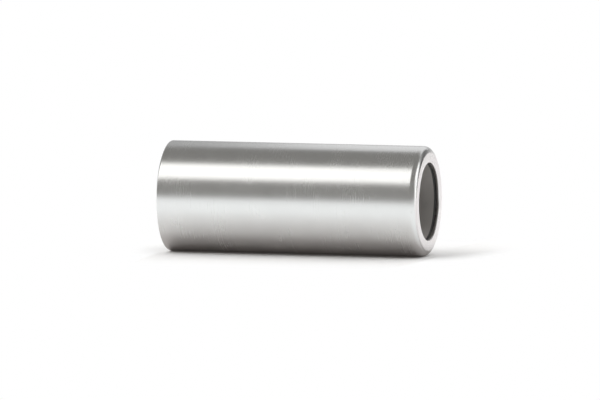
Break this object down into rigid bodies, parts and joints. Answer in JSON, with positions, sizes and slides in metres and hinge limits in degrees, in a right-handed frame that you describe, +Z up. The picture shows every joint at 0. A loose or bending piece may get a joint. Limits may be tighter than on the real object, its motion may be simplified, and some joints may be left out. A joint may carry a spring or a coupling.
{
  "type": "cylindrical roller bearing",
  "caption": "Long drawn-shell roller bearing without an inner ring, with two caged rows of slim rollers and a rubber seal behind each turned-in lip.",
  "frame": {"origin": "middle of the bearing, on its axis", "axes": "+X along the axis, out of the end with the drawn lip; +Z up as it lies on its side"},
  "size_m": [0.063, 0.026, 0.026],
  "materials": {
    "shell_steel": "satin",
    "roller_steel": "polished",
    "case_steel": "satin",
    "cage_polymer": "matte",
    "seal_rubber": "matte"
  },
  "bodies": {
    "outer_ring": {"shell": "shell_steel", "left_seal_case": "case_steel", "left_seal_lip": "seal_rubber", "right_seal_case": "case_steel", "right_seal_lip": "seal_rubber"},
    "left_cage": {"left_cage": "cage_polymer"},
    "right_cage": {"right_cage": "cage_polymer"},
    "left_roller_1": {"left_roller_1": "roller_steel"},
    "left_roller_2": {"left_roller_2": "roller_steel"},
    "left_roller_3": {"left_roller_3": "roller_steel"},
    "left_roller_4": {"left_roller_4": "roller_steel"},
    "left_roller_5": {"left_roller_5": "roller_steel"},
    "left_roller_6": {"left_roller_6": "roller_steel"},
    "left_roller_7": {"left_roller_7": "roller_steel"},
    "left_roller_8": {"left_roller_8": "roller_steel"},
    "left_roller_9": {"left_roller_9": "roller_steel"},
    "left_roller_10": {"left_roller_10": "roller_steel"},
    "left_roller_11": {"left_roller_11": "roller_steel"},
    "left_roller_12": {"left_roller_12": "roller_steel"},
    "left_roller_13": {"left_roller_13": "roller_steel"},
    "left_roller_14": {"left_roller_14": "roller_steel"},
    "right_roller_1": {"right_roller_1": "roller_steel"},
    "right_roller_2": {"right_roller_2": "roller_steel"},
    "right_roller_3": {"right_roller_3": "roller_steel"},
    "right_roller_4": {"right_roller_4": "roller_steel"},
    "right_roller_5": {"right_roller_5": "roller_steel"},
    "right_roller_6": {"right_roller_6": "roller_steel"},
    "right_roller_7": {"right_roller_7": "roller_steel"},
    "right_roller_8": {"right_roller_8": "roller_steel"},
    "right_roller_9": {"right_roller_9": "roller_steel"},
    "right_roller_10": {"right_roller_10": "roller_steel"},
    "right_roller_11": {"right_roller_11": "roller_steel"},
    "right_roller_12": {"right_roller_12": "roller_steel"},
    "right_roller_13": {"right_roller_13": "roller_steel"},
    "right_roller_14": {"right_roller_14": "roller_steel"}
  },
  "joints": [
    {"name": "left_cage_turn", "type": "hinge", "parent": "outer_ring", "child": "left_cage", "pos_m": [-0.01324, 0, 0], "axis": [1, 0, 0], "continuous": true},
    {"name": "right_cage_turn", "type": "hinge", "parent": "outer_ring", "child": "right_cage", "pos_m": [0.0131, 0, 0], "axis": [1, 0, 0], "continuous": true},
    {"name": "left_roller_1_spin", "type": "hinge", "parent": "left_cage", "child": "left_roller_1", "pos_m": [-0.01324, 0, 0.01053], "axis": [1, 0, 0], "continuous": true},
    {"name": "left_roller_2_spin", "type": "hinge", "parent": "left_cage", "child": "left_roller_2", "pos_m": [-0.01324, -0.00457, 0.00949], "axis": [1, 0, 0], "continuous": true},
    {"name": "left_roller_3_spin", "type": "hinge", "parent": "left_cage", "child": "left_roller_3", "pos_m": [-0.01324, -0.00823, 0.00657], "axis": [1, 0, 0], "continuous": true},
    {"name": "left_roller_4_spin", "type": "hinge", "parent": "left_cage", "child": "left_roller_4", "pos_m": [-0.01324, -0.01027, 0.00234], "axis": [1, 0, 0], "continuous": true},
    {"name": "left_roller_5_spin", "type": "hinge", "parent": "left_cage", "child": "left_roller_5", "pos_m": [-0.01324, -0.01027, -0.00234], "axis": [1, 0, 0], "continuous": true},
    {"name": "left_roller_6_spin", "type": "hinge", "parent": "left_cage", "child": "left_roller_6", "pos_m": [-0.01324, -0.00823, -0.00657], "axis": [1, 0, 0], "continuous": true},
    {"name": "left_roller_7_spin", "type": "hinge", "parent": "left_cage", "child": "left_roller_7", "pos_m": [-0.01324, -0.00457, -0.00949], "axis": [1, 0, 0], "continuous": true},
    {"name": "left_roller_8_spin", "type": "hinge", "parent": "left_cage", "child": "left_roller_8", "pos_m": [-0.01324, 0, -0.01053], "axis": [1, 0, 0], "continuous": true},
    {"name": "left_roller_9_spin", "type": "hinge", "parent": "left_cage", "child": "left_roller_9", "pos_m": [-0.01324, 0.00457, -0.00949], "axis": [1, 0, 0], "continuous": true},
    {"name": "left_roller_10_spin", "type": "hinge", "parent": "left_cage", "child": "left_roller_10", "pos_m": [-0.01324, 0.00823, -0.00657], "axis": [1, 0, 0], "continuous": true},
    {"name": "left_roller_11_spin", "type": "hinge", "parent": "left_cage", "child": "left_roller_11", "pos_m": [-0.01324, 0.01027, -0.00234], "axis": [1, 0, 0], "continuous": true},
    {"name": "left_roller_12_spin", "type": "hinge", "parent": "left_cage", "child": "left_roller_12", "pos_m": [-0.01324, 0.01027, 0.00234], "axis": [1, 0, 0], "continuous": true},
    {"name": "left_roller_13_spin", "type": "hinge", "parent": "left_cage", "child": "left_roller_13", "pos_m": [-0.01324, 0.00823, 0.00657], "axis": [1, 0, 0], "continuous": true},
    {"name": "left_roller_14_spin", "type": "hinge", "parent": "left_cage", "child": "left_roller_14", "pos_m": [-0.01324, 0.00457, 0.00949], "axis": [1, 0, 0], "continuous": true},
    {"name": "right_roller_1_spin", "type": "hinge", "parent": "right_cage", "child": "right_roller_1", "pos_m": [0.0131, -0.00234, 0.01027], "axis": [1, 0, 0], "continuous": true},
    {"name": "right_roller_2_spin", "type": "hinge", "parent": "right_cage", "child": "right_roller_2", "pos_m": [0.0131, -0.00657, 0.00823], "axis": [1, 0, 0], "continuous": true},
    {"name": "right_roller_3_spin", "type": "hinge", "parent": "right_cage", "child": "right_roller_3", "pos_m": [0.0131, -0.00949, 0.00457], "axis": [1, 0, 0], "continuous": true},
    {"name": "right_roller_4_spin", "type": "hinge", "parent": "right_cage", "child": "right_roller_4", "pos_m": [0.0131, -0.01053, 0], "axis": [1, 0, 0], "continuous": true},
    {"name": "right_roller_5_spin", "type": "hinge", "parent": "right_cage", "child": "right_roller_5", "pos_m": [0.0131, -0.00949, -0.00457], "axis": [1, 0, 0], "continuous": true},
    {"name": "right_roller_6_spin", "type": "hinge", "parent": "right_cage", "child": "right_roller_6", "pos_m": [0.0131, -0.00657, -0.00823], "axis": [1, 0, 0], "continuous": true},
    {"name": "right_roller_7_spin", "type": "hinge", "parent": "right_cage", "child": "right_roller_7", "pos_m": [0.0131, -0.00234, -0.01027], "axis": [1, 0, 0], "continuous": true},
    {"name": "right_roller_8_spin", "type": "hinge", "parent": "right_cage", "child": "right_roller_8", "pos_m": [0.0131, 0.00234, -0.01027], "axis": [1, 0, 0], "continuous": true},
    {"name": "right_roller_9_spin", "type": "hinge", "parent": "right_cage", "child": "right_roller_9", "pos_m": [0.0131, 0.00657, -0.00823], "axis": [1, 0, 0], "continuous": true},
    {"name": "right_roller_10_spin", "type": "hinge", "parent": "right_cage", "child": "right_roller_10", "pos_m": [0.0131, 0.00949, -0.00457], "axis": [1, 0, 0], "continuous": true},
    {"name": "right_roller_11_spin", "type": "hinge", "parent": "right_cage", "child": "right_roller_11", "pos_m": [0.0131, 0.01053, 0], "axis": [1, 0, 0], "continuous": true},
    {"name": "right_roller_12_spin", "type": "hinge", "parent": "right_cage", "child": "right_roller_12", "pos_m": [0.0131, 0.00949, 0.00457], "axis": [1, 0, 0], "continuous": true},
    {"name": "right_roller_13_spin", "type": "hinge", "parent": "right_cage", "child": "right_roller_13", "pos_m": [0.0131, 0.00657, 0.00823], "axis": [1, 0, 0], "continuous": true},
    {"name": "right_roller_14_spin", "type": "hinge", "parent": "right_cage", "child": "right_roller_14", "pos_m": [0.0131, 0.00234, 0.01027], "axis": [1, 0, 0], "continuous": true}
  ],
  "couplings": [
    {"joint": "left_roller_1_spin", "follows": "left_cage_turn", "ratio": -8.04},
    {"joint": "left_roller_2_spin", "follows": "left_cage_turn", "ratio": -8.04},
    {"joint": "left_roller_3_spin", "follows": "left_cage_turn", "ratio": -8.04},
    {"joint": "left_roller_4_spin", "follows": "left_cage_turn", "ratio": -8.04},
    {"joint": "left_roller_5_spin", "follows": "left_cage_turn", "ratio": -8.04},
    {"joint": "left_roller_6_spin", "follows": "left_cage_turn", "ratio": -8.04},
    {"joint": "left_roller_7_spin", "follows": "left_cage_turn", "ratio": -8.04},
    {"joint": "left_roller_8_spin", "follows": "left_cage_turn", "ratio": -8.04},
    {"joint": "left_roller_9_spin", "follows": "left_cage_turn", "ratio": -8.04},
    {"joint": "left_roller_10_spin", "follows": "left_cage_turn", "ratio": -8.04},
    {"joint": "left_roller_11_spin", "follows": "left_cage_turn", "ratio": -8.04},
    {"joint": "left_roller_12_spin", "follows": "left_cage_turn", "ratio": -8.04},
    {"joint": "left_roller_13_spin", "follows": "left_cage_turn", "ratio": -8.04},
    {"joint": "left_roller_14_spin", "follows": "left_cage_turn", "ratio": -8.04},
    {"joint": "right_roller_1_spin", "follows": "right_cage_turn", "ratio": -8.04},
    {"joint": "right_roller_2_spin", "follows": "right_cage_turn", "ratio": -8.04},
    {"joint": "right_roller_3_spin", "follows": "right_cage_turn", "ratio": -8.04},
    {"joint": "right_roller_4_spin", "follows": "right_cage_turn", "ratio": -8.04},
    {"joint": "right_roller_5_spin", "follows": "right_cage_turn", "ratio": -8.04},
    {"joint": "right_roller_6_spin", "follows": "right_cage_turn", "ratio": -8.04},
    {"joint": "right_roller_7_spin", "follows": "right_cage_turn", "ratio": -8.04},
    {"joint": "right_roller_8_spin", "follows": "right_cage_turn", "ratio": -8.04},
    {"joint": "right_roller_9_spin", "follows": "right_cage_turn", "ratio": -8.04},
    {"joint": "right_roller_10_spin", "follows": "right_cage_turn", "ratio": -8.04},
    {"joint": "right_roller_11_spin", "follows": "right_cage_turn", "ratio": -8.04},
    {"joint": "right_roller_12_spin", "follows": "right_cage_turn", "ratio": -8.04},
    {"joint": "right_roller_13_spin", "follows": "right_cage_turn", "ratio": -8.04},
    {"joint": "right_roller_14_spin", "follows": "right_cage_turn", "ratio": -8.04}
  ]
}
